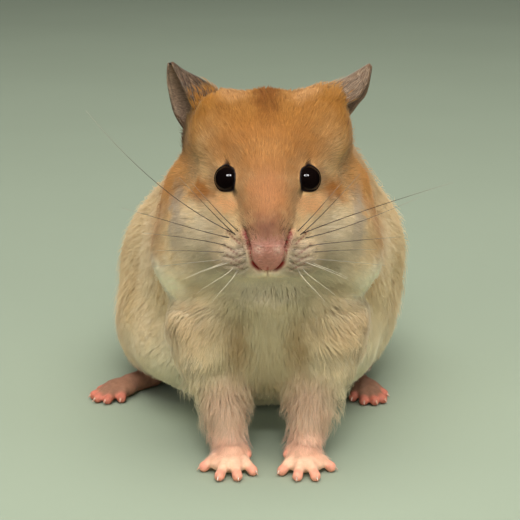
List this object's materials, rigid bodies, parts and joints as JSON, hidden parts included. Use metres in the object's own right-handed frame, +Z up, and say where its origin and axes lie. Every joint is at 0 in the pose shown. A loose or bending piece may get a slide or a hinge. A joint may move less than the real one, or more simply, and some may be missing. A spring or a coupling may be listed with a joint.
{
  "type": "syrian hamster",
  "caption": "Life-size still model of a golden and cream Syrian hamster sitting up on straight forelegs, looking ahead, with pricked ears and cheeks full.",
  "frame": {"origin": "on the floor, under the middle of the box round the whole animal", "axes": "-Y is the way the animal faces, +X its left side, +Z up"},
  "size_m": [0.0751, 0.1122, 0.0809],
  "materials": {
    "coat_gold": "soft short fur, golden orange",
    "coat_cream": "soft short fur, cream",
    "bare_pink": "bare skin with fine short hair, satin",
    "ear_grey": "thin grey skin with a down of short hair",
    "eye_black": "wet black, glossy",
    "claw_horn": "pale horn, satin"
  },
  "bodies": {
    "root": {"claw_fore_left_2": "claw_horn", "claw_fore_left_3": "claw_horn", "claw_fore_left_4": "claw_horn", "claw_fore_left_5": "claw_horn", "claw_fore_right_2": "claw_horn", "claw_fore_right_3": "claw_horn", "claw_fore_right_4": "claw_horn", "claw_fore_right_5": "claw_horn", "claw_hind_left_1": "claw_horn", "claw_hind_left_2": "claw_horn", "claw_hind_left_3": "claw_horn", "claw_hind_left_4": "claw_horn", "claw_hind_left_5": "claw_horn", "claw_hind_right_1": "claw_horn", "claw_hind_right_2": "claw_horn", "claw_hind_right_3": "claw_horn", "claw_hind_right_4": "claw_horn", "claw_hind_right_5": "claw_horn", "ear_left": "ear_grey", "ear_right": "ear_grey", "eye_left": "eye_black", "eye_right": "eye_black", "foreleg_left": "coat_cream", "foreleg_right": "coat_cream", "forepaw_left": "bare_pink", "forepaw_right": "bare_pink", "head": "coat_gold", "hindfoot_left": "bare_pink", "hindfoot_right": "bare_pink", "hindleg_left": "coat_gold", "hindleg_right": "coat_gold", "tail": "bare_pink", "trunk": "coat_gold"}
  },
  "joints": []
}
